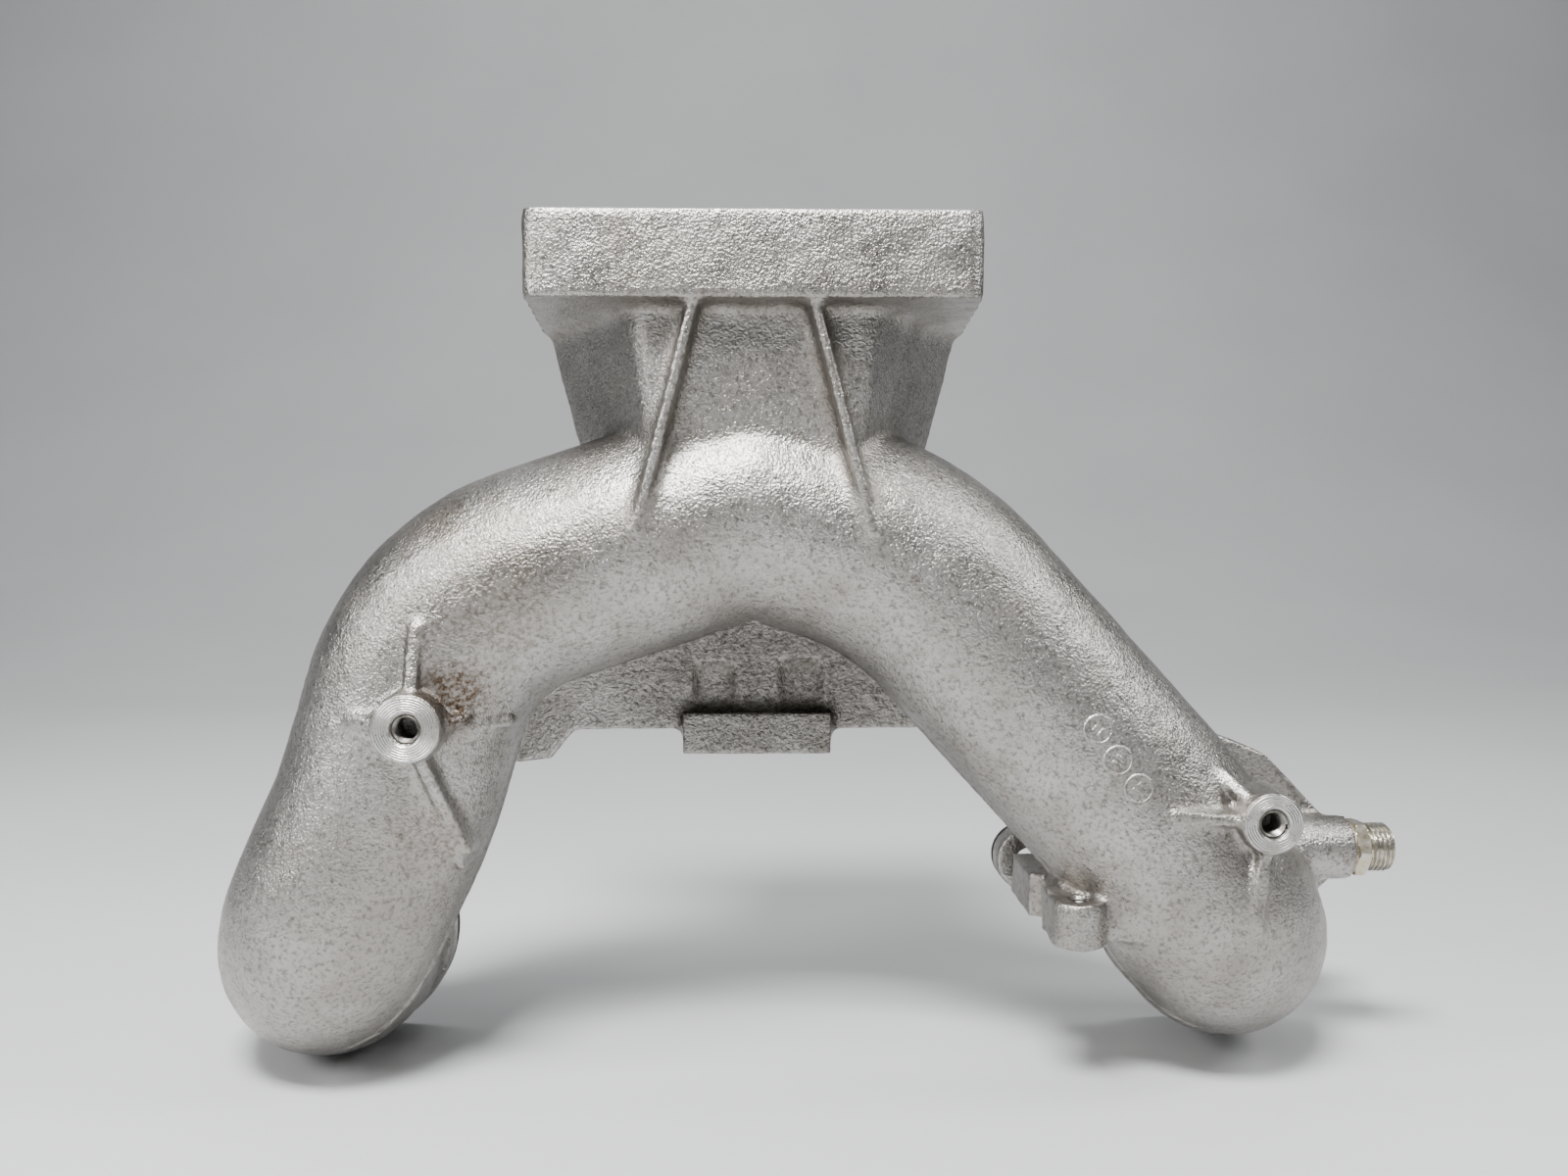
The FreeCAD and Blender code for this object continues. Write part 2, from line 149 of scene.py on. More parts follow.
# Dark, oily and rusty places of the casting, and painted shade on the rear web and under the
# inlet flange: centre, radius, colour and share
STAINS_AND_PAINTED_SHADE = (
    ((-0.098, -0.030, -0.085), 15.0 * MM, (0.22, 0.17, 0.10), 0.65),
    ((-0.076, -0.034, -0.110), 30.0 * MM, (0.17, 0.15, 0.12), 0.65),
    ((-0.088, -0.033, -0.142), 15.0 * MM, (0.070, 0.040, 0.018), 0.95),
    ((-0.096, -0.030, -0.185), 15.0 * MM, (0.16, 0.13, 0.10), 0.50),
    ((0.048, -0.032, -0.106), 4.0 * MM, (0.10, 0.07, 0.05), 0.80),
    ((0.104, -0.004, -0.216), 15.0 * MM, (0.26, 0.20, 0.14), 0.60),
    ((-0.036, -0.043, -0.012), 17.0 * MM, (0.20, 0.18, 0.15), 0.60),
    # Painted shade on the rear web between the arms
    ((0.000, 0.045, -0.150), 75.0 * MM, (0.080, 0.073, 0.066), 0.60),
    # Painted shade under the inlet flange, on both sides of the throat
    ((-0.056, 0.010, -0.060), 30.0 * MM, (0.100, 0.088, 0.076), 0.60),
    ((0.056, 0.010, -0.060), 30.0 * MM, (0.100, 0.088, 0.076), 0.60),
)
# Camera: place, direction and lens, in metres and millimetres
CAMERA_PLACE = (-0.0014, -0.4207, -0.0888)
CAMERA_FORWARD = (0.0262, 0.9983, -0.0523)
CAMERA_LENS_MM = 30.0
CAMERA_SENSOR_MM = 36.0
# Area lights: name, place, aim, size and watts
LIGHT_AIM = (0.0, 0.0, -0.13)
LIGHTS = (
    ("key_above", (-0.15, -0.55, 0.70), LIGHT_AIM, (0.34, 0.20), 30.0),
    ("left_soft", (-0.90, -0.50, 0.35), LIGHT_AIM, (0.25, 0.4), 9.0),
    ("right_soft", (0.90, -0.20, 0.55), LIGHT_AIM, (0.3, 0.4), 8.0),
    ("backdrop_light", (0.0, 0.8, 2.2), (0.0, 2.2, 0.2), (2.5, 0.8), 34.0),
)
WORLD_COLOUR = (0.80, 0.83, 0.87, 1.0)
WORLD_STRENGTH = 0.17
# Floor: half width, front end, start and radius of the bend, and height of the wall
FLOOR_HALF = 4.0
FLOOR_FRONT = -3.0
BEND_START = 0.9
BEND_RADIUS = 1.6
BEND_STEPS = 24
WALL_HEIGHT = 2.5


# ---------------------------------------------------------------- meshes

def new_object(name, vertices, faces, smooth=True):
    mesh = bpy.data.meshes.new(name)
    mesh.from_pydata([tuple(v) for v in vertices], [], faces)
    mesh.validate()
    mesh.polygons.foreach_set("use_smooth", [smooth] * len(mesh.polygons))
    piece = bpy.data.objects.new(name, mesh)
    bpy.context.scene.collection.objects.link(piece)
    return piece


def place_on_axis(points, origin, axis):
    """Move points that are made around +Z to an axis through the origin given."""
    turn = Vector((0, 0, 1)).rotation_difference(Vector(axis)).to_matrix()
    return [turn @ Vector(p) + Vector(origin) for p in points]


def ring_solid(name, section, origin, axis, steps=96):
    """Closed solid turned round an axis; section(angle) gives the loop of (radius, height)."""
    vertices = []
    count = len(section(0.0))
    for i in range(steps):
        angle = 2.0 * math.pi * i / steps
        for radius, height in section(angle):
            vertices.append((radius * math.cos(angle), radius * math.sin(angle), height))
    faces = []
    for i in range(steps):
        near = i * count
        far = ((i + 1) % steps) * count
        for j in range(count):
            k = (j + 1) % count
            faces.append((near + j, far + j, far + k, near + k))
    piece = new_object(name, place_on_axis(vertices, origin, axis), faces)
    make_outward(piece)
    return piece


def make_outward(piece):
    work = bmesh.new()
    work.from_mesh(piece.data)
    bmesh.ops.recalc_face_normals(work, faces=work.faces)
    work.to_mesh(piece.data)
    work.free()


def sharpen(piece, degrees=35.0):
    """Smooth shading with hard edges where faces meet at more than the angle."""
    work = bmesh.new()
    work.from_mesh(piece.data)
    for edge in work.edges:
        edge.smooth = edge.calc_face_angle(0.0) < math.radians(degrees)
    work.to_mesh(piece.data)
    work.free()


# ---------------------------------------------------------------- the casting

def rib_solid(boss, reach_x, reach_z, crest_y):
    """Corners of a thin wedge from a boss to the place where its rib runs out on the arm."""
    near = boss + Vector((reach_x, 0.0, reach_z)).normalized() * RIB_START
    near += Vector((0.0, RIB_DROP, 0.0))
    far = Vector((boss.x + reach_x, crest_y, boss.z + reach_z))
    side = Vector((-reach_z, 0.0, reach_x)).normalized() * (RIB_THICKNESS / 2.0)
    root = Vector((0.0, RIB_ROOT, 0.0))
    loop = (near, far, far + root, near + root)
    return [point - side for point in loop] + [point + side for point in loop]


def add_ribs(mesh):
    """Add the wedges as closed shells; the remesh joins them to the casting."""
    work = bmesh.new()
    work.from_mesh(mesh)
    for boss, ribs in ((LEFT_BOSS, LEFT_RIBS), (RIGHT_BOSS, RIGHT_RIBS)):
        for reach_x, reach_z, crest_y in ribs:
            solid = rib_solid(boss, reach_x, reach_z, crest_y)
            corners = [work.verts.new(point) for point in solid]
            sides = [(0, 1, 2, 3), (7, 6, 5, 4)]
            sides += [(i, i + 4, (i + 1) % 4 + 4, (i + 1) % 4) for i in range(4)]
            faces = [work.faces.new([corners[i] for i in side]) for side in sides]
            bmesh.ops.recalc_face_normals(work, faces=faces)
    work.to_mesh(mesh)
    work.free()


def remeshed_casting():
    """The CAD casting as an even skin of small quads, with the ribs of its bosses made crisp."""
    source = bpy.data.objects["manifold_casting"]
    piece = bpy.data.objects.new("cast_body", source.data.copy())
    bpy.context.scene.collection.objects.link(piece)
    add_ribs(piece.data)
    weld = piece.modifiers.new("weld", "WELD")
    weld.merge_threshold = 0.01 * MM
    remesh = piece.modifiers.new("remesh", "REMESH")
    remesh.mode = "VOXEL"
    remesh.voxel_size = VOXEL
    depsgraph = bpy.context.evaluated_depsgraph_get()
    mesh = bpy.data.meshes.new_from_object(piece.evaluated_get(depsgraph))
    piece.modifiers.clear()
    piece.data = mesh
    mesh.polygons.foreach_set("use_smooth", [True] * len(mesh.polygons))
    return piece


class Skin:
    """Vertex arrays of a mesh, with the sums that smoothing needs."""

    def __init__(self, mesh):
        self.mesh = mesh
        count = len(mesh.vertices)
        self.points = np.empty(count * 3)
        mesh.vertices.foreach_get("co", self.points)
        self.points = self.points.reshape(-1, 3)
        self.edges = np.empty(len(mesh.edges) * 2, dtype=np.int64)
        mesh.edges.foreach_get("vertices", self.edges)
        self.edges = self.edges.reshape(-1, 2)
        mesh.calc_loop_triangles()
        self.corners = np.empty(len(mesh.loop_triangles) * 3, dtype=np.int64)
        mesh.loop_triangles.foreach_get("vertices", self.corners)
        self.corners = self.corners.reshape(-1, 3)
        self.valence = np.bincount(self.edges.ravel(), minlength=count).astype(float)
        self.valence[self.valence == 0] = 1.0

    def total(self, targets, values):
        count = len(self.points)
        columns = [np.bincount(targets, values[:, i], count) for i in range(values.shape[1])]
        return np.stack(columns, axis=1)

    def normals(self):
        a, b, c = (self.points[self.corners[:, i]] for i in range(3))
        face = np.cross(b - a, c - a)
        normal = sum(self.total(self.corners[:, i], face) for i in range(3))
        return normal / (np.linalg.norm(normal, axis=1)[:, None] + 1e-20)

    def pull(self):
        """From each vertex to the mean of its neighbours."""
        first, second = self.edges[:, 0], self.edges[:, 1]
        around = self.total(first, self.points[second]) + self.total(second, self.points[first])
        return around / self.valence[:, None] - self.points

    def spread(self, values, steps):
        """Blur one value per vertex over the surface."""
        first, second = self.edges[:, 0], self.edges[:, 1]
        count = len(values)
        for _ in range(steps):
            around = np.bincount(first, values[second], count)
            around += np.bincount(second, values[first], count)
            values = 0.5 * values + 0.5 * around / self.valence
        return values

    def store(self):
        self.mesh.vertices.foreach_set("co", self.points.ravel())
        self.mesh.update()


def near_axis(points, place, axis, radius):
    """True inside an endless cylinder; axis is 0, 1 or 2 for X, Y or Z."""
    a, b = (i for i in range(3) if i != axis)
    return np.hypot(points[:, a] - place[a], points[:, b] - place[b]) < radius


def kept_sharp(points):
    """Where the fillets must not grow: bolt holes, threads and machined faces."""
    keep = points[:, 2] > -FACE_MARGIN
    keep |= points[:, 1] > OUTLET_FACE - FACE_MARGIN
    for boss, radius in ((LEFT_BOSS, LEFT_BOSS_RADIUS), (RIGHT_BOSS, RIGHT_BOSS_RADIUS)):
        face = near_axis(points, boss, 1, radius + RIM_MARGIN)
        hole = near_axis(points, boss, 1, INSERT_RADIUS + RIM_MARGIN)
        keep |= face & (points[:, 1] < boss.y + RIM_MARGIN)
        keep |= hole & (points[:, 1] < boss.y + BOSS_HOLE_DEPTH)
    in_lug = (points[:, 2] > BRACKET.z - RIM_MARGIN) & (points[:, 2] < LUG_TOP.z + RIM_MARGIN)
    keep |= near_axis(points, BRACKET, 2, LUG_HOLE_GUARD) & in_lug
    in_union_boss = points[:, 0] > UNION.x - UNION_HOLE_DEPTH
    keep |= near_axis(points, UNION, 0, UNION_HOLE_GUARD) & in_union_boss
    return keep


def grow_fillets(skin):
    """Fill the inner corners like a casting's, and take the edge off the outer ones.

    Returns how far each place was filled, from 0 to 1.
    """
    start = skin.points.copy()
    free = ~kept_sharp(skin.points)
    ribbed = near_axis(skin.points, LEFT_BOSS, 1, RIB_REACH)
    ribbed |= near_axis(skin.points, RIGHT_BOSS, 1, RIB_REACH)
    rate = np.where(ribbed & (skin.points[:, 1] < 0.0), RIB_FILLET_RATE, FILLET_RATE)
    rate = skin.spread(rate, 4)
    for step in range(FILLET_STEPS):
        if step % NORMAL_STEPS == 0:
            normal = skin.normals()
        pull = skin.pull()
        rise = np.einsum("ij,ij->i", pull, normal)
        allowed = free & ((rise > 0.0) | (step < ROUNDING_STEPS))
        skin.points += np.where(allowed, rate, 0.0)[:, None] * pull
    filled = np.einsum("ij,ij->i", skin.points - start, skin.normals())
    return np.clip(filled / RECESS_DEPTH, 0.0, 1.0)


def flatten_machined(skin):
    """Pull the inlet and outlet faces true, and hold the skin just under the boss faces."""
    points = skin.points
    points[:, 2] = np.where(points[:, 2] > -FLAT_REACH, 0.0, points[:, 2])
    for boss, radius in ((LEFT_BOSS, LEFT_BOSS_RADIUS), (RIGHT_BOSS, RIGHT_BOSS_RADIUS)):
        face = near_axis(points, boss, 1, radius + 1.0 * MM)
        low = boss.y + MACHINED_SKIN
        points[:, 1] = np.where(face & (points[:, 1] < low), low, points[:, 1])
    at_outlet = points[:, 1] > OUTLET_FACE - FLAT_REACH
    points[:, 1] = np.where(at_outlet, OUTLET_FACE, points[:, 1])


def ripple(points, size, depth, seed):
    """Smooth random height at each point, for the unevenness of a sand mould."""
    scale = 1.0 / size
    shift = Vector((seed, seed * 0.7, -seed))
    return depth * np.array([noise.noise(Vector(p) * scale + shift) for p in points])


def raise_flash(skin, normal, free):
    """Thin raised line where the mould's halves met, on the inner undersides of the arms."""
    points = skin.points
    line = np.exp(-((points[:, 1] - FLASH_Y) / FLASH_WIDTH) ** 2)
    inward = np.clip(-normal[:, 0] * np.sign(points[:, 0]) * 6.0 - 0.9, 0.0, 1.0)
    below = np.clip(-normal[:, 2] * 4.0, 0.0, 1.0)
    below = below * np.clip((FLASH_TOP - points[:, 2]) / FLASH_FADE, 0.0, 1.0)
    skin.points += normal * (FLASH_HEIGHT * line * inward * below * free)[:, None]


def machined_share(skin, normal):
    """1 on the inlet and outlet faces, which are cut flat, for their finish."""
    points = skin.points
    top = (points[:, 2] > -FLAT_SEEN) & (normal[:, 2] > 0.7)
    rear = (points[:, 1] > OUTLET_FACE - FLAT_SEEN) & (normal[:, 1] > 0.7)
    return (top | rear).astype(float)


def add_attribute(piece, name, values):
    attribute = piece.data.attributes.new(name, "FLOAT", "POINT")
    attribute.data.foreach_set("value", values)


def build_casting():
    piece = remeshed_casting()
    skin = Skin(piece.data)
    recess = grow_fillets(skin)
    normal = skin.normals()
    free = skin.spread((~kept_sharp(skin.points)).astype(float), 2)
    height = sum(ripple(skin.points, *values) for values in RIPPLES)
    skin.points += normal * (height * free)[:, None]
    raise_flash(skin, normal, free)
    flatten_machined(skin)
    skin.store()
    add_attribute(piece, "milled", machined_share(skin, skin.normals()))
    add_attribute(piece, "recess", skin.spread(recess, 6))
    return piece


# ---------------------------------------------------------------- materials

class Material:
    """A node material with short calls for the nodes used here."""

    def __init__(self, name):
        self.material = bpy.data.materials.new(name)
        self.material.use_nodes = True
        self.nodes = self.material.node_tree.nodes
        self.links = self.material.node_tree.links
        self.shader = self.nodes["Principled BSDF"]
        self.place = self.nodes.new("ShaderNodeTexCoord").outputs["Object"]

    def link(self, source, target):
        self.links.new(source, target)

    def feed(self, value, socket):
        """Link an output to a socket, or set a number or an RGB colour on it."""
        if isinstance(value, tuple):
            socket.default_value = value + (1.0,)
        elif isinstance(value, (int, float)):
            socket.default_value = value
        else:
            self.link(value, socket)

    def noise(self, size, detail=3.0, roughness=0.55):
        node = self.nodes.new("ShaderNodeTexNoise")
        node.inputs["Scale"].default_value = 1.0 / size
        node.inputs["Detail"].default_value = detail
        node.inputs["Roughness"].default_value = roughness
        self.link(self.place, node.inputs["Vector"])
        return node.outputs["Fac"]

    def attribute(self, name):
        node = self.nodes.new("ShaderNodeAttribute")
        node.attribute_name = name
        return node.outputs["Fac"]

    def math(self, operation, first, second=0.0):
        node = self.nodes.new("ShaderNodeMath")
        node.operation = operation
        for socket, value in zip(node.inputs, (first, second)):
            self.feed(value, socket)
        return node.outputs["Value"]

    def vector_math(self, operation, first, second=None):
        """Vector Math node; second is a fixed vector."""
        node = self.nodes.new("ShaderNodeVectorMath")
        node.operation = operation
        self.link(first, node.inputs[0])
        if second is not None:
            node.inputs[1].default_value = second
        return node.outputs

    def fade(self, source, low, high, to_low=0.0, to_high=1.0):
        """Map a range to another, held at its ends."""
        node = self.nodes.new("ShaderNodeMapRange")
        self.link(source, node.inputs["Value"])
        ends = (("From Min", low), ("From Max", high), ("To Min", to_low), ("To Max", to_high))
        for name, value in ends:
            node.inputs[name].default_value = value
        return node.outputs["Result"]

    def mix(self, factor, first, second):
        node = self.nodes.new("ShaderNodeMix")
        node.data_type = "RGBA"
        # Sockets 0, 6 and 7 are the factor and the two colours; output 2 is the colour
        for index, value in ((0, factor), (6, first), (7, second)):
            self.feed(value, node.inputs[index])
        return node.outputs[2]

    def bump(self, height, distance, strength=1.0, below=None):
        node = self.nodes.new("ShaderNodeBump")
        node.inputs["Distance"].default_value = distance
        self.feed(strength, node.inputs["Strength"])
        self.link(height, node.inputs["Height"])
        if below is not None:
            self.link(below, node.inputs["Normal"])
        return node.outputs["Normal"]

    def spot(self, centre, radius, ragged=0.5):
        """1 at a place, fading to 0 at the radius, with a ragged rim."""
        distance = self.vector_math("DISTANCE", self.place, centre)["Value"]
        rough = self.noise(radius * 0.55, 4.0, 0.7)
        rough = self.fade(rough, 0.0, 1.0, -ragged * radius, ragged * radius)
        return self.fade(self.math("ADD", distance, rough), radius * 0.35, radius, 1.0, 0.0)

    def finish(self, colour, roughness, normal, metallic=1.0):
        for name, value in (("Base Color", colour), ("Roughness", roughness),
                            ("Normal", normal), ("Metallic", metallic)):
            self.feed(value, self.shader.inputs[name])
        return self.material


def cast_aluminium():
    m = Material("cast_aluminium")
    cloud = m.noise(45.0 * MM, 4.0, 0.6)
    patch = m.noise(14.0 * MM, 5.0, 0.65)
    speck = m.noise(1.5 * MM, 3.0, 0.7)
    colour = m.mix(m.fade(cloud, 0.35, 0.65), (0.31, 0.292, 0.270), (0.44, 0.422, 0.400))
    colour = m.mix(m.fade(patch, 0.50, 0.72, 0.0, 0.45), colour, (0.20, 0.178, 0.152))
    colour = m.mix(m.fade(speck, 0.49, 0.66, 0.0, 0.66), colour, (0.095, 0.085, 0.072))
    recess = m.attribute("recess")
    # Grime and painted shade: darker and rougher in the filled inner corners
    grime_and_painted_shade = m.math("MULTIPLY", m.fade(recess, 0.10, 0.85), m.fade(patch, 0.30, 0.62, 0.35, 1.0))
    colour = m.mix(m.math("MULTIPLY", grime_and_painted_shade, 0.55), colour, (0.105, 0.088, 0.068))
    # Stains, and painted shade on the web and under the inlet flange
    for centre, radius, tint, share in STAINS_AND_PAINTED_SHADE:
        mask = m.math("MULTIPLY", m.spot(centre, radius), m.fade(speck, 0.36, 0.60, 0.25, 1.0))
        colour = m.mix(m.math("MULTIPLY", mask, share), colour, tint)
    milled = m.attribute("milled")
    cut = m.mix(m.fade(patch, 0.4, 0.7), (0.64, 0.63, 0.61), (0.50, 0.48, 0.45))
    colour = m.mix(milled, colour, cut)
    grain = m.noise(0.80 * MM, 2.0, 0.55)
    peel = m.noise(1.7 * MM, 3.0, 0.55)
    normal = m.bump(peel, 0.55 * MM, m.fade(milled, 0.0, 1.0, 0.42, 0.04))
    normal = m.bump(grain, 0.36 * MM, m.fade(milled, 0.0, 1.0, 1.0, 0.10), normal)
    roughness = m.fade(patch, 0.30, 0.70, 0.28, 0.42)
    roughness = m.math("ADD", roughness, m.math("MULTIPLY", grime_and_painted_shade, 0.16))
    return m.finish(colour, roughness, normal)


def machined(name, centre, axis, pitch, tint=(0.62, 0.61, 0.59)):
    """Turned or milled light metal with circular tool marks round an axis."""
    m = Material(name)
    across = tuple(0.0 if i == axis else 1.0 for i in range(3))
    flat = m.vector_math("MULTIPLY", m.vector_math("SUBTRACT", m.place, centre)[0], across)[0]
    radius = m.vector_math("LENGTH", flat)["Value"]
    wobble = m.noise(6.0 * MM, 2.0)
    turns = m.math("MULTIPLY", radius, 2.0 * math.pi / pitch)
    turns = m.math("ADD", turns, m.fade(wobble, 0.0, 1.0, -2.0, 2.0))
    marks = m.math("SINE", turns)
    patch = m.noise(5.0 * MM, 4.0, 0.6)
    colour = m.mix(m.fade(patch, 0.42, 0.70, 0.0, 0.7), tint, (0.34, 0.315, 0.28))
    colour = m.mix(m.fade(marks, -1.0, 1.0, 0.0, 0.50), colour, (0.24, 0.23, 0.215))
    pores = m.fade(m.noise(0.9 * MM, 3.0), 0.56, 0.70, 0.0, 0.7)
    colour = m.mix(pores, colour, (0.13, 0.12, 0.105))
    normal = m.bump(marks, 0.10 * MM, 0.8)
    normal = m.bump(m.noise(0.8 * MM, 3.0), 0.16 * MM, 0.7, normal)
    return m.finish(colour, m.fade(patch, 0.3, 0.7, 0.26, 0.42), normal)


def zinc_steel():
    """Yellowish zinc plating of the union's hexagon and spigot."""
    m = Material("zinc_steel")
    patch = m.noise(4.0 * MM, 4.0, 0.65)
    fine = m.noise(0.7 * MM, 3.0, 0.6)
    colour = m.mix(m.fade(patch, 0.35, 0.65), (0.50, 0.44, 0.30), (0.58, 0.56, 0.50))
    colour = m.mix(m.fade(fine, 0.58, 0.75, 0.0, 0.5), colour, (0.20, 0.16, 0.10))
    roughness = m.fade(patch, 0.3, 0.7, 0.24, 0.40)
    return m.finish(colour, roughness, m.bump(fine, 0.05 * MM, 0.6))


def bright_thread():
    m = Material("bright_thread")
    patch = m.noise(3.0 * MM, 4.0, 0.6)
    colour = m.mix(m.fade(patch, 0.4, 0.7), (0.66, 0.64, 0.58), (0.44, 0.41, 0.34))
    roughness = m.fade(patch, 0.3, 0.7, 0.20, 0.34)
    return m.finish(colour, roughness, m.bump(m.noise(0.4 * MM), 0.02 * MM, 0.5))


def worn_metal(name, patch, clean, worn, smoothest, dents):
    """Plain metal with worn patches; patch is their noise."""
    m = Material(name)
    patches = m.noise(*patch)
    colour = m.mix(m.fade(patches, 0.4, 0.7), clean, worn)
    roughness = m.fade(patches, 0.3, 0.7, smoothest, 0.5)
    return m.finish(colour, roughness, m.bump(patches, dents, 0.6))


def insert_steel():
    return worn_metal("insert_steel", (1.6 * MM, 4.0, 0.65), (0.36, 0.35, 0.33),
                      (0.14, 0.12, 0.10), 0.28, 0.04 * MM)


def seal_metal():
    return worn_metal("seal_metal", (1.5 * MM, 4.0, 0.6), (0.42, 0.36, 0.27),
                      (0.20, 0.17, 0.13), 0.35, 0.05 * MM)


def gasket_rubber():
    m = Material("gasket_rubber")
    patch = m.noise(6.0 * MM, 4.0, 0.6)
    fine = m.noise(0.5 * MM, 3.0, 0.6)
    colour = m.mix(m.fade(patch, 0.35, 0.7), (0.035, 0.034, 0.033), (0.085, 0.078, 0.070))
    roughness = m.fade(patch, 0.3, 0.7, 0.55, 0.75)
    return m.finish(colour, roughness, m.bump(fine, 0.06 * MM, 0.6), 0.0)


def floor_paint():
    m = Material("floor_paint")
    patch = m.noise(0.35, 3.0, 0.5)
    colour = m.mix(m.fade(patch, 0.3, 0.7), (0.50, 0.505, 0.51), (0.54, 0.545, 0.55))
    return m.finish(colour, 0.65, m.bump(m.noise(0.004), 0.0002, 0.3), 0.0)


def give(piece, material):
    piece.data.materials.clear()
    piece.data.materials.append(material)
    return piece


# ---------------------------------------------------------------- hardware

def sleeve(name, origin, axis, heights, outer, inner, steps=120):
    """Closed bored solid along an axis; outer(angle, height) and inner(height) give the radii."""
    vertices = []
    for side in (outer, lambda angle, height: inner(height)):
        for height in heights:
            for i in range(steps):
                angle = 2.0 * math.pi * i / steps
                radius = side(angle, height)
                vertices.append((radius * math.cos(angle), radius * math.sin(angle), height))
    shell = len(heights) * steps
    last = shell - steps
    faces = []
    for i in range(steps):
        k = (i + 1) % steps
        for row in range(0, last, steps):
            up = row + steps
            faces.append((row + i, row + k, up + k, up + i))
            faces.append((shell + row + i, shell + up + i, shell + up + k, shell + row + k))
        faces.append((i, shell + i, shell + k, k))
        faces.append((last + i, last + k, shell + last + k, shell + last + i))
    piece = new_object(name, place_on_axis(vertices, origin, axis), faces)
    make_outward(piece)
    return piece


def levels(low, high, count):
    return [low + (high - low) * i / (count - 1) for i in range(count)]


def hexagon_radius(angle, across_flats):
    sector = math.radians(60.0)
    return across_flats / 2.0 / math.cos((angle + sector / 2.0) % sector - sector / 2.0)


def union_hexagon(face, axis):
    """Hexagon of the union with its corners turned down on both sides."""
    end_radius = HEX_ACROSS_FLATS / 2.0 - 0.15 * MM

    def outer(angle, height):
        edge = min(height, HEX_LENGTH - height)
        cone = end_radius + edge * math.tan(HEX_CHAMFER)
        return min(hexagon_radius(angle, HEX_ACROSS_FLATS), cone)

    heights = [0.0, 0.15 * MM, 0.35 * MM, 0.6 * MM, 0.9 * MM]
    heights += [HEX_LENGTH / 2.0] + [HEX_LENGTH - height for height in reversed(heights)]
    return sleeve("union_hexagon", face, axis, heights, outer, lambda height: UNION_BORE_RADIUS)


def union_nose(face, axis):
    """Male thread of the union with an undercut behind it and a coned seat in its mouth."""
    def outer(angle, height):
        if height < THREAD_UNDERCUT:
            return THREAD_RADIUS - THREAD_DEPTH
        turn = (height / THREAD_PITCH - angle / (2.0 * math.pi)) % 1.0
        flank = abs(turn - 0.5) * 2.0
        cut = THREAD_DEPTH * min(max((flank - 0.12) / 0.76, 0.0), 1.0)
        lead = max(0.0, height - (THREAD_LENGTH - 1.0 * MM))
        return min(THREAD_RADIUS - cut, THREAD_RADIUS - lead * 0.9)

    def inner(height):
        return UNION_BORE_RADIUS + max(0.0, height - (THREAD_LENGTH - CONE_DEPTH)) * CONE_SLOPE

    return sleeve("union_nose", face, axis, levels(0.0, THREAD_LENGTH, 96), outer, inner, 144)


def union_spigot(face, axis):
    """Plain end of the union that sits in the boss."""
    def outer(angle, height):
        return SPIGOT_RADIUS

    return sleeve("union_spigot", face, axis, levels(-SPIGOT_LENGTH, 0.0, 4), outer,
                  lambda height: UNION_BORE_RADIUS, 72)


def wire_insert(name, places, axis, radius, pitch, length):
    """Coiled wire inserts: a diamond section wound down each hole from its mouth."""
    vertices = []
    faces = []
    half = pitch * 0.40
    per_turn = 36
    count = int(per_turn * (length / pitch))
    for place in places:
        first = len(vertices)
        coil = []
        for i in range(count + 1):
            angle = 2.0 * math.pi * i / per_turn
            middle = pitch * i / per_turn + half + 0.35 * MM
            for push_r, push_z in ((0.0, -half), (half, 0.0), (0.0, half), (-half, 0.0)):
                r = radius - half + push_r
                coil.append((r * math.cos(angle), r * math.sin(angle), -middle + push_z))
        vertices += place_on_axis(coil, place, axis)
        for i in range(count):
            for j in range(4):
                k = (j + 1) % 4
                near, far = first + 4 * i, first + 4 * (i + 1)
                faces.append((near + j, near + k, far + k, far + j))
        end = first + 4 * count
        faces.append((first, first + 3, first + 2, first + 1))
        faces.append((end, end + 1, end + 2, end + 3))
    piece = new_object(name, vertices, faces)
    make_outward(piece)
    sharpen(piece, 50.0)
    return piece


def boss_face(name, place, radius):
    """Machined front face of a boss, with its edge broken and the hole countersunk."""
    def section(angle):
        uneven = noise.noise(Vector((math.cos(angle), math.sin(angle), radius * 90)))
        edge = radius - 0.35 * MM + 0.12 * MM * uneven
        return [(INSERT_RADIUS, -1.4 * MM), (INSERT_RADIUS, -0.75 * MM),
                (INSERT_RADIUS + 0.75 * MM, 0.0), (edge - 0.30 * MM, 0.0),
                (edge, -0.25 * MM), (edge, -1.4 * MM)]

    piece = ring_solid(name, section, place, (0, -1, 0), 120)
    sharpen(piece, 30.0)
    return piece


def sealing_ring(face, axis):
    """Flat ring between the boss and the hexagon, with its edges broken."""
    outer, inner, thick = RING_RADIUS, SPIGOT_RADIUS, RING_THICKNESS
    nip = 0.22 * MM

    def section(angle):
        return [(inner, nip), (inner + nip, 0.0), (outer - nip, 0.0), (outer, nip),
                (outer, thick - nip), (outer - nip, thick), (inner + nip, thick),
                (inner, thick - nip)]

    piece = ring_solid("sealing_ring", section, face, axis, 96)
    sharpen(piece, 50.0)
    return piece


